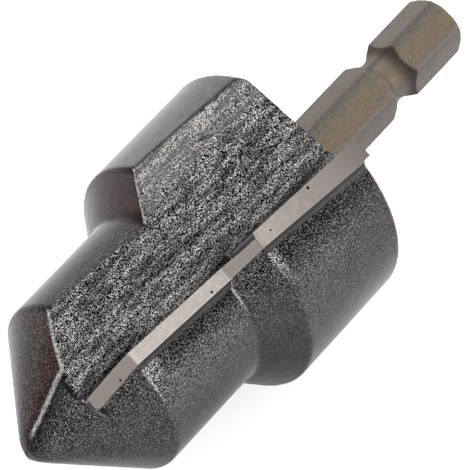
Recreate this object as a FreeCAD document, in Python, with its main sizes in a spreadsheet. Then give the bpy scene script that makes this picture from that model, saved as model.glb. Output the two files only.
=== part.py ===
import FreeCAD, Part
import os
import Sketcher
from FreeCAD import Placement, Rotation, Vector

# Pipe reamer bit: a cast two-step reamer head on a hexagonal quick-change shank.
# The tool axis is X, the shank's flat end is at the origin and the nose points to -X.
# The bit lies as it comes to rest, on the edges of one flute, so +Z is up.
# Each body is drawn with its first flute facing its own +Z and is then turned about X.
# Lengths are in millimetres and angles in degrees.

SIZES = {
    # hexagonal shank
    "shank_flats": 6.35,
    "shank_exposed": 26.0,
    "shank_end_dia": 6.3,
    "hex_turn_angle": 2.5,
    "groove_from_end": 9.8,
    "groove_arc": 2.5,
    "groove_core_dia": 5.2,
    "socket_depth": 14.0,
    "braze_gap": 0.02,
    "chamfer_reach": 4.4,
    # stepped head
    "large_lobe_dia": 28.66,
    "small_lobe_dia": 21.26,
    "large_length": 15.2,
    "shoulder_length": 3.6,
    "small_length": 13.1,
    "nose_half_angle": 44.0,
    "tip_round": 2.7,
    "edge_round": 0.3,
    "step_fillet": 0.9,
    "rim_chamfer": 0.6,
    # relief: each half of the head is turned about its own axis
    "relief_shift": 0.17,
    "relief_split_angle": 28.0,
    # ground land that carries the cutting edge, its heel and its steep flank
    "large_cut_dia": 31.2,
    "small_cut_dia": 23.8,
    "land_drop": 0.22,
    "land_relief_angle": 8.0,
    "land_heel": 1.68,
    "small_heel_angle": 3.5,
    "large_heel_angle": 5.3,
    "nose_heel_angle": 4.3,
    "land_nose_length": 4.4,
    "land_end_round": 0.6,
    "land_end_slant": 0.25,
    "land_root": 5.3,
    "land_blank_width": 2.4,
    "flank_angle": 63.0,
    "flank_depth": 2.6,
    "flank_setback": 0.5,
    # flute and the set-back of its wall ahead of the large step
    "flute_wall": 1.0,
    "flute_wall_angle": 3.6,
    "flute_floor": 6.9,
    "flute_rise_angle": 6.0,
    "flute_tilt_angle": 2.9,
    "flute_corner": 1.2,
    "flute_runout": 4.8,
    "trim_start": 0.2,
    "trim_bevel": 0.25,
    "shoulder_wall": 1.6,
    "small_wall": 1.1,
    "small_wall_angle": 3.8,
    "nose_wall_angle": 2.5,
    # the lie of the bit at rest
    "rest_turn_angle": 31.0,
}

doc = FreeCAD.newDocument("pipe_reamer_bit")
sheet = doc.addObject("Spreadsheet::Sheet", "sizes")
for row, (name, value) in enumerate(SIZES.items(), start=1):
    sheet.set(f"A{row}", name)
    sheet.set(f"B{row}", str(value))
    sheet.setAlias(f"B{row}", name)
doc.recompute()


def size(name):
    """The sheet's cell as it is written inside an expression."""
    return f"sizes.{name}"


def angle(name):
    """An angle of the sheet as it is written inside an expression."""
    return f"({size(name)} * 1 deg)"


# Stations along the tool axis, from the back of the head to the tip.
BACK = f"(-{size('shank_exposed')})"
LARGE_FRONT = f"({BACK} - {size('large_length')})"
SMALL_BACK = f"({LARGE_FRONT} - {size('shoulder_length')})"
NOSE_EDGE = f"({SMALL_BACK} - {size('small_length')})"

LARGE_LOBE = f"({size('large_lobe_dia')} / 2)"
SMALL_LOBE = f"({size('small_lobe_dia')} / 2)"
LARGE_CUT = f"({size('large_cut_dia')} / 2)"
SMALL_CUT = f"({size('small_cut_dia')} / 2)"
SHOULDER = f"atan(({LARGE_LOBE} - {SMALL_LOBE}) / {size('shoulder_length')})"

# The creases between the land's flats lie ahead of the lobes' own edges.
NOSE_CREASE = f"({NOSE_EDGE} - ({SMALL_CUT} - {SMALL_LOBE}) * tan({angle('nose_half_angle')} / 2))"
LARGE_CREASE = f"({LARGE_FRONT} - ({LARGE_CUT} - {LARGE_LOBE}) * tan({SHOULDER} / 2))"
NOSE_END = f"({NOSE_CREASE} - {size('land_nose_length')})"

HEX_SIDES = 6


def new_body(name):
    body = doc.addObject("PartDesign::Body", name)
    body.Label = name
    return body


def origin_feature(body, role):
    for feature in body.Origin.OriginFeatures:
        if feature.Role == role:
            return feature
    raise ValueError(role)


def new_sketch(body, name, plane, offset=None):
    """A sketch on one of the body's own planes, moved and turned by an expression."""
    sketch = body.newObject("Sketcher::SketchObject", name)
    sketch.AttachmentSupport = [(origin_feature(body, plane), "")]
    sketch.MapMode = "FlatFace"
    if offset:
        sketch.setExpression("AttachmentOffset", offset)
    return sketch


def number(owner, expression):
    value = owner.evalExpression(expression)
    return float(getattr(value, "Value", value))


def bind(sketch, kind, geometry, point, expression):
    """Ties one coordinate of a sketch point to an expression."""
    value = number(sketch, expression)
    index = sketch.addConstraint(Sketcher.Constraint(kind, -1, 1, geometry, point, value))
    sketch.setExpression(f"Constraints[{index}]", expression)


def outline(sketch, corners, arcs=None):
    """A closed outline. Each corner is a pair of expressions. arcs gives, for an edge that
    leaves a corner of that number, the radius and the centre of its arc."""
    arcs = arcs or {}
    points = [Vector(number(sketch, x), number(sketch, y), 0) for x, y in corners]
    for place, start in enumerate(points):
        end = points[(place + 1) % len(points)]
        if place not in arcs:
            sketch.addGeometry(Part.LineSegment(start, end), False)
            continue
        radius, centre_x, centre_y = arcs[place]
        centre = Vector(number(sketch, centre_x), number(sketch, centre_y), 0)
        middle = (start + end) / 2 - centre
        middle = centre + middle.normalize() * number(sketch, radius)
        sketch.addGeometry(Part.Arc(start, middle, end), False)
    ends = []
    for place, start in enumerate(points):
        first = sketch.getPoint(place, 1)
        ends.append((1, 2) if first.distanceToPoint(start) < 1e-6 else (2, 1))
    for place in range(len(points)):
        after = (place + 1) % len(points)
        sketch.addConstraint(
            Sketcher.Constraint("Coincident", place, ends[place][1], after, ends[after][0])
        )
    for place, (x, y) in enumerate(corners):
        bind(sketch, "DistanceX", place, ends[place][0], x)
        bind(sketch, "DistanceY", place, ends[place][0], y)
    for place, (radius, _, _) in arcs.items():
        index = sketch.addConstraint(
            Sketcher.Constraint("Radius", place, number(sketch, radius))
        )
        sketch.setExpression(f"Constraints[{index}]", radius)


def hexagon(sketch, flats):
    """A hexagon about the tool axis with one flat facing the first flute."""
    corners = []
    for side in range(HEX_SIDES):
        turn = f"({angle('hex_turn_angle')} + {(side + 0.5) * 360 / HEX_SIDES} deg)"
        corners.append((f"-{flats} / sqrt(3) * sin{turn}", f"{flats} / sqrt(3) * cos{turn}"))
    outline(sketch, corners)


def twice_round(body, name, originals):
    """Repeats features on the other side of the tool axis."""
    pattern = body.newObject("PartDesign::PolarPattern", name)
    pattern.Originals = originals
    pattern.Axis = (origin_feature(body, "X_Axis"), [""])
    pattern.Angle = 360
    pattern.Occurrences = 2
    body.Tip = pattern
    doc.recompute()
    return pattern


def head_profile(sketch):
    """Half of the lobes' lengthwise section: tip, nose cone, small step, shoulder, large
    step and the chamfered back rim, with the casting's small radii."""
    nose = angle("nose_half_angle")
    apex = f"({NOSE_EDGE} - {SMALL_LOBE} / tan{nose})"
    tip_centre = f"({apex} + {size('tip_round')} / sin{nose})"
    nose_run = f"({size('edge_round')} * tan({nose} / 2))"
    step_run = f"({size('step_fillet')} * tan({SHOULDER} / 2))"
    front_run = f"({size('edge_round')} * tan({SHOULDER} / 2))"
    corners = [
        (f"{tip_centre} - {size('tip_round')}", "0"),
        (f"{tip_centre} - {size('tip_round')} * sin{nose}", f"{size('tip_round')} * cos{nose}"),
        (f"{NOSE_EDGE} - {nose_run} * cos{nose}", f"{SMALL_LOBE} - {nose_run} * sin{nose}"),
        (f"{NOSE_EDGE} + {nose_run}", SMALL_LOBE),
        (f"{SMALL_BACK} - {step_run}", SMALL_LOBE),
        (
            f"{SMALL_BACK} + {step_run} * cos({SHOULDER})",
            f"{SMALL_LOBE} + {step_run} * sin({SHOULDER})",
        ),
        (
            f"{LARGE_FRONT} - {front_run} * cos({SHOULDER})",
            f"{LARGE_LOBE} - {front_run} * sin({SHOULDER})",
        ),
        (f"{LARGE_FRONT} + {front_run}", LARGE_LOBE),
        (f"{BACK} - {size('rim_chamfer')}", LARGE_LOBE),
        (BACK, f"{LARGE_LOBE} - {size('rim_chamfer')}"),
        (BACK, "0"),
    ]
    arcs = {
        0: (size("tip_round"), tip_centre, "0"),
        2: (size("edge_round"), f"{NOSE_EDGE} + {nose_run}", f"{SMALL_LOBE} - {size('edge_round')}"),
        4: (size("step_fillet"), f"{SMALL_BACK} - {step_run}", f"{SMALL_LOBE} + {size('step_fillet')}"),
        6: (size("edge_round"), f"{LARGE_FRONT} + {front_run}", f"{LARGE_LOBE} - {size('edge_round')}"),
    }
    outline(sketch, corners, arcs)


def extrude(body, kind, name, sketch, length, sideways="0", up="1"):
    """Draws a sketch out, or cuts along it, in a direction across the tool axis."""
    feature = body.newObject(kind, name)
    feature.Profile = sketch
    feature.UseCustomVector = True
    feature.AlongSketchNormal = False
    feature.Direction = Vector(0, number(feature, sideways), number(feature, up))
    feature.setExpression("Direction.y", sideways)
    feature.setExpression("Direction.z", up)
    feature.setExpression("Length", length)
    doc.recompute()
    return feature


def heel(station, start=NOSE_EDGE, offset=size("land_heel"), slope=angle("small_heel_angle")):
    """How far the land's heel lies from the tool axis, seen from above, at a station."""
    return f"({offset} + ({station} - {start}) * tan{slope})"


def heel_flank(body, name, start, offset, slope, corners):
    """A wedge that falls steeply from the heel to the lobe. Its outline stands on the heel."""
    plane = f"placement(vector({start}; 0; {offset}); rotationy(-{slope}))"
    sketch = new_sketch(body, f"{name}_side", "XZ_Plane", plane)
    outline(sketch, [(f"({x} - {start}) / cos{slope}", z) for x, z in corners])
    doc.recompute()
    lean = angle("flank_angle")
    return extrude(
        body, "PartDesign::Pad", name, sketch, size("flank_depth"), f"-cos{lean}", f"-sin{lean}"
    )


def build_land(body):
    """The raised strip: its outline seen from above, its heel flanks and its ground flats."""
    root = size("land_root")
    large_heel = heel(LARGE_CREASE)
    large_slope = angle("large_heel_angle")
    nose_slope = f"(-{angle('nose_heel_angle')})"
    nose_heel = heel(NOSE_CREASE)
    round_off = size("land_end_round")
    end_heel = heel(f"({NOSE_END} + {round_off})", NOSE_CREASE, nose_heel, nose_slope)
    plan = new_sketch(body, "land_plan", "XY_Plane")
    plan.setExpression("AttachmentOffset.Base.z", root)
    width = size("land_blank_width")
    outline(
        plan,
        [
            (BACK, f"-{heel(BACK, LARGE_CREASE, large_heel, large_slope)}"),
            (LARGE_CREASE, f"-{large_heel}"),
            (NOSE_CREASE, f"-{nose_heel}"),
            (f"{NOSE_END} + {round_off}", f"-{end_heel}"),
            (NOSE_END, f"-({end_heel} - {round_off})"),
            (f"{NOSE_END} + {size('land_end_slant')}", width),
            (BACK, width),
        ],
        {3: (round_off, f"{NOSE_END} + {round_off}", f"-({end_heel} - {round_off})")},
    )
    doc.recompute()
    blank = extrude(body, "PartDesign::Pad", "land_blank", plan, f"({LARGE_CUT} - {root})")

    drop = size("land_drop")
    small_top = f"({SMALL_CUT} - {drop})"
    large_top = f"({LARGE_CUT} - {drop})"
    rim = size("rim_chamfer")
    small_flank = heel_flank(
        body,
        "small_flank",
        NOSE_EDGE,
        size("land_heel"),
        angle("small_heel_angle"),
        [
            (NOSE_CREASE, small_top),
            (SMALL_BACK, small_top),
            (LARGE_CREASE, large_top),
            (LARGE_CREASE, root),
            (NOSE_CREASE, root),
        ],
    )
    large_flank = heel_flank(
        body,
        "large_flank",
        LARGE_CREASE,
        large_heel,
        large_slope,
        [
            (LARGE_CREASE, large_top),
            (f"({BACK} - {rim} - {size('flank_setback')})", large_top),
            (f"({BACK} - {rim})", LARGE_LOBE),
            (BACK, f"({LARGE_LOBE} - {rim})"),
            (BACK, root),
            (LARGE_CREASE, root),
        ],
    )

    # The flats are ground along the heel and fall away from the edge by the relief angle.
    side = new_sketch(body, "land_flats", "XZ_Plane")
    side.setExpression("AttachmentOffset.Base.z", size("land_heel"))
    clear = LARGE_CUT
    front = f"({NOSE_END} - {size('tip_round')})"
    front_top = f"({small_top} - ({NOSE_CREASE} - {front}) * tan{angle('nose_half_angle')})"
    outline(
        side,
        [
            (front, front_top),
            (NOSE_CREASE, small_top),
            (SMALL_BACK, small_top),
            (LARGE_CREASE, large_top),
            (f"{BACK} + {clear}", large_top),
            (f"{BACK} + {clear}", f"{large_top} + {clear}"),
            (front, f"{large_top} + {clear}"),
        ],
    )
    doc.recompute()
    relief = angle("land_relief_angle")
    flats = extrude(
        body, "PartDesign::Pocket", "land_grinding", side, f"(2 * {clear})", f"cos{relief}", f"sin{relief}"
    )
    flats.Midplane = True
    doc.recompute()
    return [blank, small_flank, large_flank, flats]


def build_flute(body):
    """An L-shaped channel whose straight path rises and drifts towards the back, and the
    set-back of its wall along the shoulder, the small step and the nose."""
    start = f"({BACK} + {size('flute_runout')})"
    wall = angle("flute_wall_angle")
    climb = angle("flute_rise_angle")
    tilt = angle("flute_tilt_angle")
    drift = f"({size('flute_wall')} + ({start} - {LARGE_FRONT}) * tan{wall})"
    rise = f"({size('flute_floor')} + ({start} - {NOSE_EDGE}) * tan{climb})"
    turned = f"rotationy(-{wall}) * rotationx(-{climb})"
    section = new_sketch(
        body, "flute_section", "YZ_Plane", f"placement(vector(-{drift}; {rise}; {start}); {turned})"
    )
    corner = size("flute_corner")
    run = f"({corner} / tan((90 deg + {tilt}) / 2))"
    reach = size("large_cut_dia")
    outline(
        section,
        [
            ("0", run),
            (f"{run} * cos{tilt}", f"-{run} * sin{tilt}"),
            (f"{reach} * cos{tilt}", f"-{reach} * sin{tilt}"),
            (reach, reach),
            ("0", reach),
        ],
        {0: (corner, corner, run)},
    )
    doc.recompute()
    flute = body.newObject("PartDesign::Pocket", "flute")
    flute.Profile = section
    flute.Type = "ThroughAll"
    doc.recompute()

    # Seen from above, the cutting edge steps back at the large land's front corner.
    on_floor = f"vector({NOSE_EDGE}; 0; {size('flute_floor')})"
    as_floor = f"placement({on_floor}; rotationy(-{climb}) * rotationx(-{tilt}))"
    trim = new_sketch(body, "wall_trim_plan", "XY_Plane", as_floor)
    trim_start = f"({LARGE_CREASE} + {size('trim_start')})"
    small_wall = size("small_wall")
    nose_wall = f"({small_wall} + ({NOSE_CREASE} - {SMALL_BACK}) * tan{angle('small_wall_angle')})"
    tip = f"({NOSE_END} - {size('tip_round')})"
    tip_wall = f"({nose_wall} + ({NOSE_CREASE} - {tip}) * tan{angle('nose_wall_angle')})"
    width = size("land_blank_width")
    corners = [
        (trim_start, width),
        (trim_start, f"-{size('flute_wall')}"),
        (f"({trim_start} - {size('trim_bevel')})", f"-{size('shoulder_wall')}"),
        (SMALL_BACK, f"-{small_wall}"),
        (NOSE_CREASE, f"-{nose_wall}"),
        (tip, f"-{tip_wall}"),
        (tip, width),
    ]
    outline(trim, [(f"({x} - {NOSE_EDGE}) / cos{climb}", y) for x, y in corners])
    doc.recompute()
    wall_trim = extrude(body, "PartDesign::Pocket", "wall_trim", trim, LARGE_CUT)
    return [flute, wall_trim]


def build_head():
    """One steel casting: two lobes on two steps and a nose cone, with ground lands."""
    body = new_body("cutter_head")

    # Lobes: half a turn of the section, about an axis set off towards the split.
    split = angle("relief_split_angle")
    shift = size("relief_shift")
    moved = f"vector(0; {shift} * cos{split}; -{shift} * sin{split})"
    profile = new_sketch(body, "lobe_profile", "XZ_Plane", f"placement({moved}; rotationx(-{split}))")
    head_profile(profile)
    doc.recompute()
    lobe = body.newObject("PartDesign::Revolution", "lobe")
    lobe.Profile = profile
    lobe.ReferenceAxis = (profile, ["H_Axis"])
    lobe.Angle = 180
    doc.recompute()
    twice_round(body, "lobes", [lobe])

    twice_round(body, "lands_and_flutes", build_land(body) + build_flute(body))

    # Socket: a blind hexagonal hole for the shank's root.
    mouth = new_sketch(body, "socket_mouth", "YZ_Plane")
    mouth.setExpression("AttachmentOffset.Base.z", BACK)
    hexagon(mouth, f"({size('shank_flats')} + 2 * {size('braze_gap')})")
    doc.recompute()
    socket = body.newObject("PartDesign::Pocket", "socket")
    socket.Profile = mouth
    socket.setExpression("Length", size("socket_depth"))
    doc.recompute()
    body.Tip = socket
    return body


def build_shank():
    """Drawn hexagonal bar with a turned end chamfer and a turned retaining groove."""
    body = new_body("hex_shank")
    section = new_sketch(body, "hex_section", "YZ_Plane")
    hexagon(section, size("shank_flats"))
    doc.recompute()
    bar = body.newObject("PartDesign::Pad", "bar")
    bar.Profile = section
    bar.Reversed = True
    bar.setExpression("Length", f"{size('shank_exposed')} + {size('socket_depth')}")
    doc.recompute()

    chamfer = new_sketch(body, "end_chamfer_section", "XZ_Plane")
    outside = size("chamfer_reach")
    end_radius = f"({size('shank_end_dia')} / 2)"
    outline(
        chamfer,
        [("0", end_radius), ("0", outside), (f"{end_radius} - {outside}", outside)],
    )
    doc.recompute()
    turned_end = body.newObject("PartDesign::Groove", "end_chamfer")
    turned_end.Profile = chamfer
    turned_end.ReferenceAxis = (chamfer, ["H_Axis"])
    turned_end.Angle = 360
    doc.recompute()

    ring = new_sketch(body, "groove_section", "XZ_Plane")
    arc = size("groove_arc")
    centre = (f"-{size('groove_from_end')}", f"{size('groove_core_dia')} / 2 + {arc}")
    place = Vector(number(ring, centre[0]), number(ring, centre[1]), 0)
    ring.addGeometry(Part.Circle(place, Vector(0, 0, 1), number(ring, arc)), False)
    bind(ring, "DistanceX", 0, 3, centre[0])
    bind(ring, "DistanceY", 0, 3, centre[1])
    radius = ring.addConstraint(Sketcher.Constraint("Radius", 0, number(ring, arc)))
    ring.setExpression(f"Constraints[{radius}]", arc)
    doc.recompute()
    groove = body.newObject("PartDesign::Groove", "retaining_groove")
    groove.Profile = ring
    groove.ReferenceAxis = (ring, ["H_Axis"])
    groove.Angle = 360
    body.Tip = groove
    doc.recompute()
    return body


bodies = [build_head(), build_shank()]

# The bit is rolled about its axis until it lies on the edges of the lower flute.
for body in bodies:
    body.Placement = Placement(Vector(0, 0, 0), Rotation(Vector(1, 0, 0), 0))
    body.setExpression("Placement.Rotation.Angle", angle("rest_turn_angle"))
doc.recompute()

for item in doc.Objects:
    faults = [state for state in item.State if state in ("Invalid", "Error")]
    if faults:
        raise RuntimeError(f"{item.Name} could not be built: {faults}")

os.makedirs("parts", exist_ok=True)
for body in bodies:
    shape = body.Shape
    if shape.isNull() or not shape.isValid() or len(shape.Solids) != 1:
        raise RuntimeError(f"{body.Label} isn't one valid solid")
    shape.exportStep(f"parts/{body.Label}.step")
    box = shape.BoundBox
    print(
        f"{body.Label}: volume {shape.Volume:.1f} mm3, "
        f"X {box.XMin:.2f} to {box.XMax:.2f}, Y {box.YMin:.2f} to {box.YMax:.2f}, "
        f"Z {box.ZMin:.2f} to {box.ZMax:.2f}"
    )
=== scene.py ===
import math

import bmesh
import bpy
from mathutils import Matrix, Vector, kdtree, noise


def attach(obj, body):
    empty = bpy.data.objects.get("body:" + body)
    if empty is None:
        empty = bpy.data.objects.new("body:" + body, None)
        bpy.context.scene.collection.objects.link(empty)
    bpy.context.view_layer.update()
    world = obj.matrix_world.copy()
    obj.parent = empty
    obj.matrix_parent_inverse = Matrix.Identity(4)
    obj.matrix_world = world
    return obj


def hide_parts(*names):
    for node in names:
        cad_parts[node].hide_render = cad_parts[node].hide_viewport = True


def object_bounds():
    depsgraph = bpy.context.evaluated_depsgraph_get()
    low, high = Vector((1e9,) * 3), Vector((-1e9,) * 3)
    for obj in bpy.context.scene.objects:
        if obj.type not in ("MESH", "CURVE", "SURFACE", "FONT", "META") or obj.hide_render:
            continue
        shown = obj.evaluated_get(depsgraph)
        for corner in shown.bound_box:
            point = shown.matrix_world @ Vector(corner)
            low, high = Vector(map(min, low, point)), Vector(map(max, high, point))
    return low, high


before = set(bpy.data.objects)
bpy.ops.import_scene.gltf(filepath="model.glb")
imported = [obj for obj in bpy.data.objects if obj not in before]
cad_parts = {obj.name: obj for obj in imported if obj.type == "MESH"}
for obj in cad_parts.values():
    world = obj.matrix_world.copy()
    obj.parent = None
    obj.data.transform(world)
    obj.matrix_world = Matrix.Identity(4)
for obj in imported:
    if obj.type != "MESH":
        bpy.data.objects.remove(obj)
cad_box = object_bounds()

# Cutter head
# One steel casting, blasted to a dark matt skin: two lobes on two steps, a shoulder, a nose
# cone and two open flutes. A land along each cutting edge stands proud and is ground bright.

# The tool axis is X, the nose points to -X and the shank's end is at 0. The bit lies rolled
# about its axis onto the edges of its lower flute. In the tool's own frame, with that roll
# undone, the upper flute faces straight up and the lower one straight down.
MM = 0.001
ROLL = math.radians(31.0)
roll = Matrix.Rotation(ROLL, 3, "X")
unroll = roll.inverted()
HALF_TURN = Matrix.Diagonal((1, -1, -1))

# Stations along the axis, the lobes' radii and the nose's slope, in millimetres.
HEAD_BACK = -26.0
HEAD_SHOULDER = -41.2
SHOULDER_FRONT = -44.8
NOSE_EDGE = -57.9
NOSE_CREASE = -58.4
LARGE_RADIUS = 14.33
SMALL_RADIUS = 10.63
NOSE_SLOPE = math.tan(math.radians(44.0))

# The faces are a quarter of a millimetre wide, to carry the casting's uneven skin.
REMESH_DEPTH = 8
REMESH_SCALE = 0.6

# Edges that bend more than the first angle are softened. Those that bend more than the second
# one stay in place while the round surfaces between them are evened out.
SHARP_ANGLE = math.radians(24.0)
HELD_ANGLE = math.radians(12.0)
ROUND_PASSES = 16
EDGE_PASSES = 3
SOFTNESS = 0.5

# What tells the surfaces apart: height above the lobe and the way they face.
LAND_HEIGHT = 0.3
LAND_NORMAL = Vector((0, 0.139, 0.990))
NOSE_LAND_NORMAL = Vector((-0.69, 0.1, 0.717))
FLANK_NORMAL = Vector((0, -0.891, 0.454))
FLOOR_NORMAL = Vector((-0.102, 0.050, 0.994))
FLAT_ENOUGH = 0.9995
LAND_EDGE = 0.0
FLOOR_SLACK = 0.08
FLANK_REACH = -6.0
FLANK_FOOT = -0.2
WALL_REACH = -3.5
CORNER_REACH = 1.6

# The two relieved halves of the nose meet in a step at this angle from the flute's middle.
RIDGE_ANGLE = 28.0

# Casting pores that the grinding opened: place on the land, radius and depth.
PORES = (
    ((-33.7, -1.82, 15.5), 0.15, 0.3),
    ((-39.9, -2.0, 15.5), 0.09, 0.18),
    ((-47.3, -2.0, 11.8), 0.13, 0.18),
    ((-60.1, -1.45, 10.1), 0.12, 0.15),
)


def in_tool(place):
    """A point in millimetres in the tool's frame, and whether it lies on the lower half,
    which is the upper half turned half round."""
    point = unroll @ place / MM
    lower = point.z < 0
    return (HALF_TURN @ point if lower else point), lower


def smooth_step(value, start, end):
    """0 before start, 1 after end and a smooth rise between them."""
    share = min(1, max(0, (value - start) / (end - start)))
    return share * share * (3 - 2 * share)


def lobe_radius(x):
    """The lobes' radius at a station along the tool axis, in millimetres."""
    if x > HEAD_SHOULDER:
        return LARGE_RADIUS
    if x > SHOULDER_FRONT:
        part = (x - SHOULDER_FRONT) / (HEAD_SHOULDER - SHOULDER_FRONT)
        return SMALL_RADIUS + part * (LARGE_RADIUS - SMALL_RADIUS)
    if x > NOSE_EDGE:
        return SMALL_RADIUS
    return SMALL_RADIUS - (NOSE_EDGE - x) * NOSE_SLOPE


def remeshed(node, name, depth, scale):
    """A copy of a CAD node's mesh with small even faces, which keeps its sharp edges."""
    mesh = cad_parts[node].data.copy()
    mesh.materials.clear()
    bm = bmesh.new()
    bm.from_mesh(mesh)
    bmesh.ops.remove_doubles(bm, verts=bm.verts, dist=0.001 * MM)
    bm.to_mesh(mesh)
    bm.free()
    piece = bpy.data.objects.new(name, mesh)
    bpy.context.scene.collection.objects.link(piece)
    remesh = piece.modifiers.new("even", "REMESH")
    remesh.mode = "SHARP"
    remesh.octree_depth = depth
    remesh.scale = scale
    remesh.use_remove_disconnected = False
    graph = bpy.context.evaluated_depsgraph_get()
    piece.data = bpy.data.meshes.new_from_object(piece.evaluated_get(graph))
    piece.modifiers.clear()
    return piece


CAST, FLUTE, FLANK, LAND = range(4)


def facing(face):
    """A face's centre and normal in the tool's frame, on the upper half."""
    centre, lower = in_tool(face.calc_center_median())
    normal = unroll @ face.normal
    return centre, (HALF_TURN @ normal if lower else normal)


def region(face, floor_normal, floor_height):
    """Which of the head's surfaces a face belongs to."""
    centre, normal = facing(face)
    height = math.hypot(centre.y, centre.z) - lobe_radius(centre.x)
    above_floor = centre.dot(floor_normal) - floor_height
    near_land = FLANK_REACH < centre.y < 0
    if centre.x > HEAD_BACK - 0.05:
        return CAST
    on_top = max(normal.dot(LAND_NORMAL), normal.dot(NOSE_LAND_NORMAL)) > 0.9
    if on_top and height > LAND_HEIGHT and centre.y < LAND_EDGE:
        return LAND
    if height > FLANK_FOOT and normal.dot(FLANK_NORMAL) > 0.95 and near_land:
        return FLANK
    if abs(above_floor) < FLOOR_SLACK and normal.dot(floor_normal) > 0.98:
        return FLUTE
    by_wall = WALL_REACH < centre.y < CORNER_REACH
    if by_wall and above_floor > -FLOOR_SLACK and normal.y > 0.1 and abs(normal.x) < 0.6:
        return FLUTE
    return CAST


def smooth(bm, verts, passes):
    """Moves a set of vertices towards their neighbours, in the order of the mesh."""
    verts = [vert for vert in bm.verts if vert in verts]
    every_way = {"use_axis_x": True, "use_axis_y": True, "use_axis_z": True}
    for _ in range(passes):
        bmesh.ops.smooth_vert(bm, verts=verts, factor=SOFTNESS, **every_way)


def soften_edges(bm, kept, passes):
    """Rounds the sharp edges, apart from those of the faces that are kept crisp."""
    crisp = {vert for face in kept for vert in face.verts}
    sharp = [edge for edge in bm.edges if edge.calc_face_angle(0) > SHARP_ANGLE]
    smooth(bm, {vert for edge in sharp for vert in edge.verts} - crisp, passes)


def even_out(bm, passes):
    """Takes the CAD mesh's long facets out of the round surfaces, away from every edge."""
    bends = [edge for edge in bm.edges if edge.calc_face_angle(0) > HELD_ANGLE]
    held = {vert for edge in bends for vert in edge.verts}
    held |= {vert for face in bm.faces if face.material_index != CAST for vert in face.verts}
    held |= {other for vert in held for edge in vert.link_edges for other in edge.verts}
    smooth(bm, set(bm.verts) - held, passes)


head = remeshed("cutter_head", "cast_head", REMESH_DEPTH, REMESH_SCALE)
bm = bmesh.new()
bm.from_mesh(head.data)
bm.normal_update()
flat = [facing(face) for face in bm.faces]
flat = [(centre, normal) for centre, normal in flat if normal.dot(FLOOR_NORMAL) > FLAT_ENOUGH]
floor_normal = sum((normal for _, normal in flat), Vector()).normalized()
floor_height = sum(centre.dot(floor_normal) for centre, _ in flat) / len(flat)
for face in bm.faces:
    face.material_index = region(face, floor_normal, floor_height)

lands = [face for face in bm.faces if face.material_index in (LAND, FLANK)]
even_out(bm, ROUND_PASSES)
soften_edges(bm, lands, EDGE_PASSES)

# Skin of the casting: long low ridges along the flute's floor, a faint unevenness elsewhere.
FLOOR_DEPTH = 0.16
FLOOR_REACH = 0.5
RIDGE_LENGTH = 4.0
RIDGE_WIDTH = 0.7
SKIN_DEPTH = 0.015
SKIN_PATCH = 1.2

# Each vertex holds how coarse the grain is there, coarsest in the flutes and beside the heel of
# each land. It holds how much painted shade the skin gets: beside the lands, along the edges and
# away from the light, with a painted highlight on each land's border. And it holds how much
# red-brown painted shade lies on the cones' far sides.
HEEL_ANGLE = 17.0
HEEL_FADE = 18.0
BORDER_REACH = 3.5
BACK_GRAIN = 0.2
BACK_PAINTED_SHADE = 0.3
SLOPE_PAINTED_SHADE = 0.5
LAND_FOOT_PAINTED_SHADE = 0.6
LOBE_BORDER_PAINTED_SHADE = 0.3
SLOPE_BORDER_PAINTED_SHADE = 0.8
LARGE_FRONT = 1.3
SMALL_FRONT = 4.0


def grain_there(point, around):
    """How coarse the grain is at a point, by its angle from the land round the tool axis."""
    grain = min(1, 0.05 + math.exp((HEEL_ANGLE - around) / HEEL_FADE))
    if NOSE_EDGE < point.x < SHOULDER_FRONT and point.y > 0:
        below = floor_height - point.dot(floor_normal)
        grain += 0.45 * (1 - smooth_step(below, 0, BORDER_REACH))
    if point.x < NOSE_EDGE - 0.1:
        grain = 0.35 + 0.45 * grain + 0.35 * smooth_step(around, 110, 150)
    return grain


def painted_shade_there(point, around, grain):
    """How much painted shade a lobe's skin gets at a point; less just behind each front edge,
    which paints a highlight there.
    """
    level = min(1, 1.15 * grain**1.8)
    if NOSE_EDGE < point.x < SHOULDER_FRONT:
        far = 0.5 * smooth_step(around, 40, 80) + 0.4 * smooth_step(around, 95, 122)
        level = max(level, far)
    elif point.x > HEAD_SHOULDER:
        level = min(1, level + 0.12 + 0.16 * smooth_step(point.x, -37, -29))
    if around < 90:
        on_large = point.x > HEAD_SHOULDER - 0.1
        from_front = point.x - (HEAD_SHOULDER if on_large else NOSE_EDGE)
        length = LARGE_FRONT if on_large else SMALL_FRONT
        bright_front = 1 - smooth_step(from_front, 0.4, length)
        level *= 1 - bright_front * (1 - smooth_step(around, 18, 36))
    return level


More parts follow.
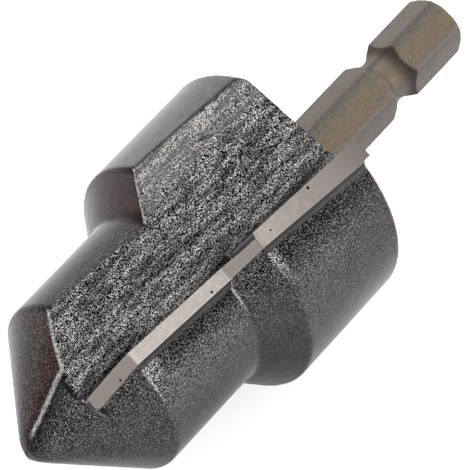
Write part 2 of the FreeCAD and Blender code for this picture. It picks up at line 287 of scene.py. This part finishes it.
coarse = bm.verts.layers.float.new("coarse")
red_painted_shade = bm.verts.layers.float.new("red_painted_shade")
painted_shade_and_glint = bm.verts.layers.float.new("painted_shade_and_glint")
bm.normal_update()
on_land = {vert for face in bm.faces if face.material_index == LAND for vert in face.verts}
land_points = kdtree.KDTree(len(on_land))
for vert in bm.verts:
    if vert in on_land:
        land_points.insert(vert.co, vert.index)
land_points.balance()
for vert in bm.verts:
    kinds = {face.material_index for face in vert.link_faces}
    point, lower = in_tool(vert.co)
    seed = Vector((0, 0, 40 if lower else 0))
    around = math.degrees(math.atan2(-point.y, point.z)) % 180
    on_nose = point.x < NOSE_EDGE - 0.1
    on_slope = on_nose or SHOULDER_FRONT < point.x < HEAD_SHOULDER
    on_small = NOSE_EDGE < point.x < SHOULDER_FRONT
    if FLUTE in kinds:
        vert[coarse] = 1.0
        # Painted shade at the foot of the land's wall and along the floor's borders with the
        # lobes and cones.
        if LAND in kinds:
            vert[painted_shade_and_glint] = LAND_FOOT_PAINTED_SHADE
        elif kinds != {FLUTE} and point.y > 0.5:
            on_lobe = on_small or point.x > HEAD_SHOULDER
            vert[painted_shade_and_glint] = LOBE_BORDER_PAINTED_SHADE if on_lobe else SLOPE_BORDER_PAINTED_SHADE
        if kinds == {FLUTE} and point.dot(floor_normal) - floor_height < FLOOR_REACH:
            stretched = Vector((point.x / RIDGE_LENGTH, point.y / RIDGE_WIDTH, 0))
            ridge = noise.fractal(stretched + seed, 0.7, 2.0, 4)
            vert.co -= vert.normal * FLOOR_DEPTH * min(1, max(0, 0.4 + 0.9 * ridge)) * MM
        continue
    if on_nose and around > 180 - RIDGE_ANGLE:
        around = 0
    vert[coarse] = grain_there(point, around)
    vert[painted_shade_and_glint] = painted_shade_there(point, around, vert[coarse])
    if point.x > HEAD_BACK - 0.05:
        vert[coarse] = BACK_GRAIN
        vert[painted_shade_and_glint] = BACK_PAINTED_SHADE
    # A land's border gets full painted shade, which the land's material turns into a painted
    # highlight. The flank gets painted shade next to the land.
    if LAND in kinds:
        vert[painted_shade_and_glint] = 0.0 if len(kinds) == 1 else 1.0
    elif kinds == {FLANK}:
        from_land = land_points.find(vert.co)[2] / MM
        vert[painted_shade_and_glint] = 1 - smooth_step(from_land, 0.2, 0.8)
    # The cones get painted shade, and red-brown painted shade towards their far sides.
    if on_slope:
        vert[painted_shade_and_glint] = SLOPE_PAINTED_SHADE
        vert[red_painted_shade] = 0.3 * smooth_step(around, 80, 110) + 0.6 * smooth_step(around, 112, 140)
    if LAND in kinds or FLANK in kinds:
        continue
    skin = 0.5 + noise.noise(point / SKIN_PATCH + seed)
    vert.co -= vert.normal * SKIN_DEPTH * min(1, max(0, skin)) * MM

# Pores: the faces round each one are divided and pushed in as a small bowl.
RING_REACHES = (3.0, 2.2)
RING_MARGIN = 0.2
PORE_REACH = 2.0
RAGGED_MM = 0.25
for side in (Matrix.Identity(3), HALF_TURN):
    for place, radius, _ in PORES:
        centre = roll @ (side @ Vector(place)) * MM
        for reach in RING_REACHES:
            size = (reach * radius + RING_MARGIN) * MM
            ring = {vert for vert in bm.verts if (vert.co - centre).length < size}
            edges = [edge for edge in bm.edges if ring & set(edge.verts)]
            bmesh.ops.subdivide_edges(bm, edges=edges, cuts=1, use_grid_fill=True)
bm.normal_update()
hole = bm.verts.layers.float.new("pore")
for side in (Matrix.Identity(3), HALF_TURN):
    for place, radius, depth in PORES:
        centre = roll @ (side @ Vector(place)) * MM
        out = roll @ (side @ LAND_NORMAL)
        for vert in bm.verts:
            away = vert.co - centre
            if away.length > PORE_REACH * MM:
                continue
            away -= away.project(out)
            ragged = radius * (1 + 0.5 * noise.noise(vert.co / (RAGGED_MM * MM)))
            share = away.length / (ragged * MM)
            if share < 1:
                vert.co -= out * depth * MM * (1 - share**2)
            vert[hole] = 1 - smooth_step(share, 0.8, 1.2)

bmesh.ops.triangulate(bm, faces=[f for f in bm.faces if len(f.verts) > 4])
bm.normal_update()
for face in bm.faces:
    face.smooth = True
for edge in bm.edges:
    kinds = {face.material_index for face in edge.link_faces}
    crisp = kinds & {LAND, FLANK} and len(edge.link_faces) == 2
    edge.smooth = not (crisp and edge.calc_face_angle() > SHARP_ANGLE)
bm.to_mesh(head.data)
bm.free()


def linear(colour):
    """The linear colour of an sRGB hex value."""
    parts = [int(colour[place : place + 2], 16) / 255 for place in (1, 3, 5)]
    return (*(p / 12.92 if p <= 0.04045 else ((p + 0.055) / 1.055) ** 2.4 for p in parts), 1.0)


def add(tree, kind, inputs=None, **settings):
    """Adds one node. inputs gives its sockets a value or another node's output."""
    node = tree.nodes.new(kind)
    for name, value in settings.items():
        setattr(node, name, value)
    for socket, value in (inputs or {}).items():
        if isinstance(value, bpy.types.NodeSocket):
            tree.links.new(value, node.inputs[socket])
        else:
            node.inputs[socket].default_value = value
    return node


# The sockets of a colour Mix node.
FACTOR, COLOUR_A, COLOUR_B, MIXED = 0, 6, 7, 2


def new_material(name):
    """An empty material, and a vector in millimetres in the tool's frame."""
    material = bpy.data.materials.new(name)
    material.use_nodes = True
    tree = material.node_tree
    tree.nodes.clear()
    place = add(tree, "ShaderNodeTexCoord").outputs["Object"]
    sizes = {"Vector": place, "Rotation": (-ROLL, 0, 0), "Scale": (1 / MM, 1 / MM, 1 / MM)}
    return material, tree, add(tree, "ShaderNodeMapping", sizes).outputs["Vector"]


def blended(tree, factor, colour_a, colour_b, start=0.0, end=1.0):
    """A colour that goes from one to the other as a factor goes from start to end."""
    part = add(tree, "ShaderNodeMapRange", {"Value": factor, "From Min": start, "From Max": end})
    colours = {FACTOR: part.outputs[0], COLOUR_A: colour_a, COLOUR_B: colour_b}
    return add(tree, "ShaderNodeMix", colours, data_type="RGBA").outputs[MIXED]


def ramp(tree, value, start, end, within=None):
    """0 where a value is at start, 1 where it is at end, times a second mask."""
    part = {"Value": value, "From Min": start, "From Max": end}
    mask = add(tree, "ShaderNodeMapRange", part).outputs[0]
    if within is None:
        return mask
    return add(tree, "ShaderNodeMath", {0: mask, 1: within}, operation="MULTIPLY").outputs[0]


def band(tree, value, middle, half_width, fade, within=None):
    """1 where a value is near its middle and 0 elsewhere, times a second mask."""
    away = add(tree, "ShaderNodeMath", {0: value, 1: middle}, operation="SUBTRACT").outputs[0]
    away = add(tree, "ShaderNodeMath", {0: away}, operation="ABSOLUTE").outputs[0]
    return ramp(tree, away, half_width + fade, half_width, within)


def multiplied(tree, colour_a, colour_b):
    """One colour times another."""
    colours = {FACTOR: 1.0, COLOUR_A: colour_a, COLOUR_B: colour_b}
    mix = add(tree, "ShaderNodeMix", colours, data_type="RGBA", blend_type="MULTIPLY")
    return mix.outputs[MIXED]


def dotted(tree, vector, direction):
    """How far a point lies in a direction."""
    both = {0: vector, 1: direction}
    return add(tree, "ShaderNodeVectorMath", both, operation="DOT_PRODUCT").outputs["Value"]


def finished(tree, colour, metallic, roughness, normal):
    """The surface shader and the material's output."""
    inputs = {"Base Color": colour, "Metallic": metallic, "Roughness": roughness}
    surface = add(tree, "ShaderNodeBsdfPrincipled", {**inputs, "Normal": normal})
    add(tree, "ShaderNodeOutputMaterial", {"Surface": surface.outputs[0]})


def on_upper_half(tree, place):
    """The place turned to the upper flute's half: the vector and its x, y and z."""
    parts = add(tree, "ShaderNodeSeparateXYZ", {"Vector": place})
    half = add(tree, "ShaderNodeMath", {0: parts.outputs["Z"]}, operation="SIGN").outputs[0]
    turned = {"X": parts.outputs["X"]}
    for axis in ("Y", "Z"):
        product = {0: parts.outputs[axis], 1: half}
        turned[axis] = add(tree, "ShaderNodeMath", product, operation="MULTIPLY").outputs[0]
    folded = add(tree, "ShaderNodeCombineXYZ", turned).outputs[0]
    return folded, turned["X"], turned["Y"], turned["Z"]


# Blasted cast steel
# A dark oxide skin that grit has broken up, so bare metal shows as a salt-and-pepper grain, with
# no gloss. The grain is about 0.13 mm, drawn as one noise for colour and bump alike.
PATCH_MM = 1.6
STREAK_MM = 0.6
PIT_MM = 0.5


def cast_skin(name, grain_mm, length_mm, grain_range, dark, light, roughness, bump_mm):
    """The casting's skin on one kind of surface. The dark and the light are the oxide and the
    bare metal of the coarse grain, and grain_range is where one goes over into the other."""
    material, tree, place = new_material(name)
    folded, along, across, _ = on_upper_half(tree, place)
    drawn_out = {"Vector": place, "Scale": (1 / length_mm, 1 / grain_mm, 1 / grain_mm)}
    drawn_out = add(tree, "ShaderNodeMapping", drawn_out).outputs[0]
    grain = {"Vector": drawn_out, "Scale": 1.0, "Detail": 2.0, "Roughness": 0.75}
    grain = add(tree, "ShaderNodeTexNoise", grain).outputs["Fac"]
    coarse = add(tree, "ShaderNodeAttribute", attribute_name="coarse").outputs["Fac"]
    fine_grain = blended(tree, grain, linear("#5f5b59"), linear("#8f8b89"), 0.35, 0.65)
    painted_shade_and_glint = add(tree, "ShaderNodeAttribute", attribute_name="painted_shade_and_glint").outputs["Fac"]
    # Painted shade thins out the bright grains.
    sparse = {0: painted_shade_and_glint, 1: -0.036, 2: grain}
    sparse = add(tree, "ShaderNodeMath", sparse, operation="MULTIPLY_ADD").outputs[0]
    above_floor = dotted(tree, folded, floor_normal)
    if name == "flute_cast_steel":
        stretched = add(tree, "ShaderNodeMapping", {"Vector": place, "Scale": (0.16, 1, 1)})
        streak = {"Vector": stretched.outputs[0], "Scale": 1 / STREAK_MM, "Detail": 4.0}
        streak = add(tree, "ShaderNodeTexNoise", streak).outputs["Fac"]
        # Painted light: a lit stripe with a wandering border along the floor's left side, on the
        # large section, gets more bright grains and a lighter colour.
        wander = {0: streak, 1: -8.0, 2: across}
        wander = add(tree, "ShaderNodeMath", wander, operation="MULTIPLY_ADD").outputs[0]
        painted_lit_side = ramp(tree, wander, 3.5, 5.0, ramp(tree, along, -45.5, -43.5))
        sparse = {0: painted_lit_side, 1: 0.02, 2: sparse}
        sparse = add(tree, "ShaderNodeMath", sparse, operation="MULTIPLY_ADD").outputs[0]
        # Painted light: a few more bright grains on the floor beside the wall.
        sparse = {0: ramp(tree, across, 3.5, 0.5), 1: 0.014, 2: sparse}
        sparse = add(tree, "ShaderNodeMath", sparse, operation="MULTIPLY_ADD").outputs[0]
        # Painted shade on the floor: darker beside the wall at the back, beside the wall on the
        # small section and the nose, and at the wall's foot.
        by_wall = ramp(tree, across, 0.7, -0.6, ramp(tree, along, -28.5, -31.0))
        painted_nose_wall_shade = ramp(tree, across, 1.5, 0.0, ramp(tree, along, -50.0, -57.0))
        painted_wall_foot_shade = ramp(tree, across, -0.55, -0.75)
        pits = band(tree, across, 9.0, 0.1, 0.5, ramp(tree, along, -37.0, -35.0))
        pit = {"Vector": place, "Scale": 1 / PIT_MM, "Detail": 1.0}
        pit = add(tree, "ShaderNodeTexNoise", pit).outputs["Fac"]
        pits = ramp(tree, pit, 0.47, 0.42, pits)
        shades = (
            blended(tree, streak, linear("#9a9a9a"), linear("#ffffff"), 0.4, 0.59),
            blended(tree, by_wall, linear("#ffffff"), linear("#d0d0d0")),
            blended(tree, painted_nose_wall_shade, linear("#ffffff"), linear("#858585")),
            blended(tree, painted_wall_foot_shade, linear("#ffffff"), linear("#a8a8a8")),
            blended(tree, pits, linear("#ffffff"), linear("#4c4a49")),
        )
    else:
        patch = {"Vector": place, "Scale": 1 / PATCH_MM, "Detail": 3.0, "Roughness": 0.6}
        patch = add(tree, "ShaderNodeTexNoise", patch).outputs["Fac"]
        shades = (blended(tree, patch, linear("#e4e4e4"), (1, 1, 1, 1), 0.3, 0.7),)
    coarse_grain = blended(tree, sparse, linear(dark), linear(light), *grain_range)
    colour = blended(tree, coarse, fine_grain, coarse_grain)
    for shade in shades:
        colour = multiplied(tree, colour, shade)
    if name == "flute_cast_steel":
        # Painted light: the lit stripe is made lighter.
        colour = blended(tree, painted_lit_side, colour, linear("#d6d2cf"), 0.0, 7.0)
    # Painted shade: darker where the vertices hold painted shade.
    colour = multiplied(tree, colour, blended(tree, painted_shade_and_glint, (1, 1, 1, 1), linear("#a8a4a2")))
    # Red-brown painted shade on the cones' far sides.
    red_painted_shade = add(tree, "ShaderNodeAttribute", attribute_name="red_painted_shade").outputs["Fac"]
    colour = blended(tree, red_painted_shade, colour, linear("#431d1b"), 0.0, 1.6)

    # Painted highlights: bright lines on the left edges of the shoulder and the nose, on the
    # ridge and on the front edges by the heel. Painted shade: dark lines beside them and along
    # the lobes' edges by the flute.
    if name == "blasted_cast_steel":
        on_left = ramp(tree, across, 0.5, 1.5)
        on_nose = ramp(tree, along, NOSE_EDGE, NOSE_EDGE - 0.3)
        mid_shoulder = (HEAD_SHOULDER + SHOULDER_FRONT) / 2
        mid_small = (SHOULDER_FRONT + NOSE_EDGE) / 2
        half_small = (SHOULDER_FRONT - NOSE_EDGE) / 2
        off_small = band(tree, along, mid_small, half_small - 0.4, 0.4)
        dark_left = ramp(tree, off_small, 1.25, 0.0, on_left)
        left_shoulder = band(tree, along, mid_shoulder, 1.7, 0.15, on_left)
        slope = math.radians(RIDGE_ANGLE)
        from_ridge = dotted(tree, folded, (0, math.cos(slope), -math.sin(slope)))
        from_ridge = {0: patch, 1: 0.7, 2: from_ridge}
        from_ridge = add(tree, "ShaderNodeMath", from_ridge, operation="MULTIPLY_ADD").outputs[0]
        from_ridge = {0: from_ridge, 1: 0.35}
        from_ridge = add(tree, "ShaderNodeMath", from_ridge, operation="SUBTRACT").outputs[0]
        by_ridge = band(tree, along, NOSE_EDGE - 5.6, 2.9, 0.7)
        left_nose = ramp(tree, from_ridge, -0.1, 0.1, on_nose)
        right_nose = ramp(tree, from_ridge, 0.1, -0.1, ramp(tree, across, -3.5, -2.5, on_nose))
        near_floor = ramp(tree, above_floor, floor_height - 3.2, floor_height - 0.6, on_left)
        by_heel = ramp(tree, across, 0.5, -0.5, ramp(tree, across, -6.5, -4.5))
        painted_shade_lines = (
            band(tree, above_floor, floor_height - 0.2, 0.12, 0.15, dark_left),
            band(tree, above_floor, floor_height - 0.12, 0.12, 0.12, right_nose),
            band(tree, from_ridge, -0.3, 0.2, 1.6, on_nose),
            band(tree, along, HEAD_SHOULDER - 0.15, 0.15, 0.25, near_floor),
            band(tree, along, SHOULDER_FRONT + 0.2, 0.3, 0.4, near_floor),
            band(tree, along, NOSE_EDGE, 0.2, 0.4, near_floor),
        )
        for line in painted_shade_lines:
            colour = blended(tree, line, colour, linear("#201c1b"), 0.0, 1.4)
        lit = blended(tree, grain, linear("#585452"), linear("#fffcfa"), 0.44, 0.56)
        painted_highlight_lines = (
            band(tree, above_floor, floor_height - 0.12, 0.1, 0.1, left_shoulder),
            band(tree, above_floor, floor_height - 0.16, 0.16, 0.1, left_nose),
            band(tree, from_ridge, 0.1, 0.13, 0.27, by_ridge),
            band(tree, along, HEAD_SHOULDER, 0.05, 0.12, by_heel),
            band(tree, along, SHOULDER_FRONT, 0.05, 0.12, by_heel),
            band(tree, along, NOSE_EDGE, 0.05, 0.12, by_heel),
        )
        for line in painted_highlight_lines:
            colour = blended(tree, line, colour, lit, 0.0, 1.1)
    # Painted sheen: the colour goes towards white where the surface is seen at a grazing angle.
    painted_rim_sheen = add(tree, "ShaderNodeLayerWeight", {"Blend": 0.5}).outputs["Facing"]
    painted_rim_sheen = ramp(tree, painted_rim_sheen, 0.4, 1.0)
    painted_rim_sheen = add(tree, "ShaderNodeMath", {0: painted_rim_sheen, 1: 2.5}, operation="POWER").outputs[0]
    colour = blended(tree, painted_rim_sheen, colour, linear("#f4f4f6"))
    height = {0: grain, 1: coarse, 2: grain}
    height = add(tree, "ShaderNodeMath", height, operation="MULTIPLY_ADD").outputs[0]
    relief = {"Height": height, "Strength": 1.0, "Distance": bump_mm * MM}
    relief = add(tree, "ShaderNodeBump", relief).outputs["Normal"]
    finished(tree, colour, 1.0, roughness, relief)
    return material


skins = (
    cast_skin("blasted_cast_steel", 0.13, 0.13, (0.53, 0.562), "#060505", "#fffcf9", 0.42, 0.03),
    cast_skin("flute_cast_steel", 0.13, 0.15, (0.52, 0.565), "#060505", "#fffaf6", 0.4, 0.06),
    cast_skin("heel_cast_steel", 0.13, 0.13, (0.42, 0.58), "#1e1c1b", "#8e8a86", 0.5, 0.01),
)
for skin in skins:
    head.data.materials.append(skin)

# Ground steel
# Bare steel off a grinding wheel: a light metal with a satin gloss and fine lines across the
# land. The real lines are finer, and these are drawn 0.28 mm apart so that they show.
# The land's colour holds painted light: a tone for each section, darker towards the back. A wave
# texture of scale 1 repeats after WAVE_PERIOD.
LINE_MM = 0.28
WAVE_PERIOD = 0.314
material, tree, place = new_material("ground_steel")
_, along, _, _ = on_upper_half(tree, place)
slant = {"Vector": place, "Rotation": (0, 0, 0.06), "Scale": (1, 0.06, 0.06)}
slant = add(tree, "ShaderNodeMapping", slant).outputs["Vector"]
lines = {"Vector": slant, "Scale": WAVE_PERIOD / LINE_MM, "Distortion": 2.5, "Detail": 3.0}
lines = add(tree, "ShaderNodeTexWave", lines).outputs["Fac"]
# Painted light along the land: each section's tone and the darkening towards the back stand in
# for how the light falls.
LAND_PAINTED_TONES = (
    (NOSE_CREASE - 4.5, "#b4aba6"),
    (NOSE_CREASE - 0.05, "#b4aba6"),
    (NOSE_CREASE + 0.05, "#d9d1cb"),
    (SHOULDER_FRONT - 0.1, "#d1c9c3"),
    (SHOULDER_FRONT + 0.1, "#b9b1ac"),
    (HEAD_SHOULDER - 0.1, "#b9b1ac"),
    (HEAD_SHOULDER + 0.1, "#c4bcb7"),
    (HEAD_BACK, "#817a77"),
)
first, last = LAND_PAINTED_TONES[0][0], LAND_PAINTED_TONES[-1][0]
painted_tones = add(tree, "ShaderNodeValToRGB", {"Fac": ramp(tree, along, first, last)})
stops = painted_tones.color_ramp.elements
for station, _ in LAND_PAINTED_TONES[1:-1]:
    stops.new((station - first) / (last - first))
for stop, (_, tone) in zip(stops, LAND_PAINTED_TONES):
    stop.color = linear(tone)
worn = {"Vector": place, "Scale": 2.0, "Detail": 2.0}
worn = add(tree, "ShaderNodeTexNoise", worn).outputs["Fac"]
large_land = band(tree, along, -37.6, 3.0, 3.0)
small_land = band(tree, along, -51.4, 6.2, 0.5)
cut = add(tree, "ShaderNodeMath", {0: large_land, 1: small_land}, operation="MAXIMUM").outputs[0]
cut = ramp(tree, lines, 0.8, 0.0, ramp(tree, worn, 0.3, 0.55, cut))
shade = blended(tree, cut, (1, 1, 1, 1), linear("#d7d4d2"))
shade = multiplied(tree, painted_tones.outputs["Color"], shade)
# Painted highlight: the land's borders are made bright towards the nose, where the painted shade
# layer is high.
edge = add(tree, "ShaderNodeAttribute", attribute_name="painted_shade_and_glint").outputs["Fac"]
edge = ramp(tree, edge, 0.5, 1.4, ramp(tree, along, -38.0, -44.0))
shade = blended(tree, edge, shade, linear("#fcf8f5"))
pore = add(tree, "ShaderNodeAttribute", attribute_name="pore").outputs["Fac"]
shade = blended(tree, pore, shade, linear("#241e1b"))
relief = {"Height": lines, "Strength": 0.5, "Distance": 0.015 * MM}
relief = add(tree, "ShaderNodeBump", relief).outputs["Normal"]
finished(tree, shade, 1.0, 0.38, relief)
head.data.materials.append(material)

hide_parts("cutter_head")
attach(head, "root")

# Hexagonal shank
# A drawn quarter-inch bar with a turned retaining groove and a turned end chamfer, brazed into
# the head's socket. The groove's arc has its centre outside the bar.
SHANK_PASSES = 2
HEX_HALF_FLAT = 1.83
GROOVE_AT = 9.8
GROOVE_ARC = 2.5
GROOVE_CORE = 2.6
shank = remeshed("hex_shank", "drawn_shank", REMESH_DEPTH, REMESH_SCALE)
bm = bmesh.new()
bm.from_mesh(shank.data)
bm.normal_update()
soften_edges(bm, [], SHANK_PASSES)
for face in bm.faces:
    face.smooth = True
bm.to_mesh(shank.data)
bm.free()

# Drawn steel
# Cold-drawn bar with a satin skin: a soft gloss, a fine speckle and a wider mottle. The
# brazing heat left a straw tint, strongest on the flats that face the flutes.
SPECKLE_MM = 0.22
MOTTLE_MM = 1.6
material, tree, place = new_material("drawn_steel")
_, along, across, up = on_upper_half(tree, place)
speckle = {"Vector": place, "Scale": 1 / SPECKLE_MM, "Detail": 3.0, "Roughness": 0.7}
speckle = add(tree, "ShaderNodeTexNoise", speckle).outputs["Fac"]
mottle = {"Vector": place, "Scale": 1 / MOTTLE_MM, "Detail": 4.0, "Roughness": 0.65}
mottle = add(tree, "ShaderNodeTexNoise", mottle).outputs["Fac"]
steel = blended(tree, mottle, linear("#847d78"), linear("#8b847e"), 0.35, 0.65)
# Painted light: the side towards -y is made lighter.
steel = blended(tree, across, linear("#a59e99"), steel, -3.0, -1.0)
wander = add(tree, "ShaderNodeMath", {0: mottle, 1: 2.6, 2: across}, operation="MULTIPLY_ADD")
tint = band(tree, wander.outputs[0], 1.1, 0.6, 1.3, ramp(tree, up, 0.5, 2.0))
shade = blended(tree, tint, steel, linear("#978976"))
# Painted shade: a dark band along the flute-facing flat's edge on the +y side.
painted_edge_shade = band(tree, across, HEX_HALF_FLAT, 0.05, 0.35)
shade = blended(tree, painted_edge_shade, shade, linear("#5e5650"), 0.0, 1.6)
radius = add(tree, "ShaderNodeCombineXYZ", {"Y": across, "Z": up}).outputs[0]
radius = add(tree, "ShaderNodeVectorMath", {0: radius}, operation="LENGTH").outputs["Value"]
from_arc = add(tree, "ShaderNodeCombineXYZ", {"X": along, "Y": radius}).outputs[0]
from_arc = {0: from_arc, 1: (-GROOVE_AT, GROOVE_CORE + GROOVE_ARC, 0)}
from_arc = add(tree, "ShaderNodeVectorMath", from_arc, operation="DISTANCE").outputs["Value"]
# Painted shade: a dark crescent where the hex flats meet the groove's far wall.
painted_far_wall_shade = ramp(tree, along, -9.3, -8.3)
painted_far_wall_shade = ramp(tree, from_arc, GROOVE_ARC + 0.12, GROOVE_ARC + 0.04, painted_far_wall_shade)
shade = blended(tree, painted_far_wall_shade, shade, linear("#5a514b"), 0.0, 1.2)
grit = blended(tree, speckle, linear("#cccccc"), (1, 1, 1, 1), 0.3, 0.7)
shade = multiplied(tree, shade, grit)
# Painted sheen: the colour goes lighter where the surface is seen at a grazing angle.
painted_rim_sheen = add(tree, "ShaderNodeLayerWeight", {"Blend": 0.5}).outputs["Facing"]
shade = blended(tree, painted_rim_sheen, shade, linear("#d8d8da"), 0.8, 1.1)
relief = {"Height": speckle, "Strength": 0.5, "Distance": 0.012 * MM}
relief = add(tree, "ShaderNodeBump", relief).outputs["Normal"]
finished(tree, shade, 1.0, 0.55, relief)
shank.data.materials.append(material)
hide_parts("hex_shank")
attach(shank, "root")

# Camera, from the photograph: it stands over the upper flute, a little to the nose's side.
CAMERA_AT = Vector((-233.55, 0.13, 365.72)) * MM
LOOK = Vector((0.4778, 0.0, -0.8785))
DOWN = Vector((-0.6384, -0.6869, -0.3472))
FOCAL_PX = 4157.4
FRAME_PX = 470
SENSOR = 36.0

camera = bpy.data.objects.new("camera", bpy.data.cameras.new("camera"))
bpy.context.scene.collection.objects.link(camera)
camera.data.sensor_width = SENSOR
camera.data.lens = SENSOR * FOCAL_PX / FRAME_PX
camera.data.clip_start = 0.01
camera.data.clip_end = 10.0
back = -(roll @ LOOK).normalized()
up = -(roll @ DOWN)
up = (up - up.project(back)).normalized()
side = up.cross(back)
turned = Matrix((side, up, back)).transposed().to_4x4()
camera.matrix_world = Matrix.Translation(roll @ CAMERA_AT) @ turned
bpy.context.scene.camera = camera

# Floor and light
# A white floor in a white studio that is darker behind the nose and straight above, and
# brighter on the left. One soft lamp stands at the shank's end.
FLOOR_SIZE = 3.0
FLOOR_GLOW = 0.72
floor_mesh = bpy.data.meshes.new("floor")
bm = bmesh.new()
bmesh.ops.create_grid(bm, x_segments=1, y_segments=1, size=FLOOR_SIZE)
bm.to_mesh(floor_mesh)
bm.free()
floor = bpy.data.objects.new("floor", floor_mesh)
bpy.context.scene.collection.objects.link(floor)
floor.location.z = cad_box[0].z
material = bpy.data.materials.new("white_floor")
material.use_nodes = True
tree = material.node_tree
tree.nodes.clear()
path = add(tree, "ShaderNodeLightPath")
matt = add(tree, "ShaderNodeBsdfDiffuse", {"Color": linear("#f4f4f4")})
glow = add(tree, "ShaderNodeEmission", {"Color": (1, 1, 1, 1), "Strength": FLOOR_GLOW})
both = add(tree, "ShaderNodeAddShader", {0: matt.outputs[0], 1: glow.outputs[0]})
seen = add(
    tree,
    "ShaderNodeMixShader",
    {0: path.outputs["Is Camera Ray"], 1: matt.outputs[0], 2: both.outputs[0]},
)
add(tree, "ShaderNodeOutputMaterial", {"Surface": seen.outputs[0]})
floor_mesh.materials.append(material)

world = bpy.data.worlds.new("studio")
bpy.context.scene.world = world
world.use_nodes = True
tree = world.node_tree
tree.nodes.clear()
path = add(tree, "ShaderNodeLightPath")
direction = add(tree, "ShaderNodeTexCoord").outputs["Generated"]
# Each row is a direction, how near to it the change starts and ends, and the levels there.
STUDIO = (
    (Vector((1, 0, 0)), -0.9, 0.7, 0.6, 1.0),
    ((roll @ Vector((-0.1, 0.05, 0.95))).normalized(), 0.7, 0.93, 1.0, 0.85),
    ((roll @ Vector((0.55, 0.83, 0))).normalized(), 0.5, 0.95, 1.0, 1.5),
)
level = 1.0
for way, start, end, low, high in STUDIO:
    near = dotted(tree, direction, way)
    part = {"Value": near, "From Min": start, "From Max": end, "To Min": low, "To Max": high}
    part = add(tree, "ShaderNodeMapRange", part, interpolation_type="SMOOTHSTEP").outputs[0]
    level = {0: level, 1: part}
    level = add(tree, "ShaderNodeMath", level, operation="MULTIPLY").outputs[0]
plain = add(tree, "ShaderNodeBackground", {"Color": (1, 1, 1, 1), "Strength": 1.0})
studio = add(tree, "ShaderNodeBackground", {"Color": (1, 1, 1, 1), "Strength": level})
sky = add(
    tree,
    "ShaderNodeMixShader",
    {0: path.outputs["Is Camera Ray"], 1: studio.outputs[0], 2: plain.outputs[0]},
)
add(tree, "ShaderNodeOutputWorld", {"Surface": sky.outputs[0]})


def softbox(name, towards, distance, size, watts):
    """A square area lamp that stands in a direction from the bit and faces it."""
    aim = roll @ Vector(towards).normalized()
    middle = Vector((-38, 0, 0)) * MM
    lamp = bpy.data.objects.new(name, bpy.data.lights.new(name, "AREA"))
    bpy.context.scene.collection.objects.link(lamp)
    lamp.data.size = size
    lamp.data.energy = watts
    lamp.location = middle + aim * distance
    lamp.rotation_euler = aim.to_track_quat("Z", "Y").to_euler()


softbox("back_softbox", (0.8, -0.55, 0.35), 0.7, 0.3, 0.8)

bpy.context.scene.view_settings.view_transform = "Standard"
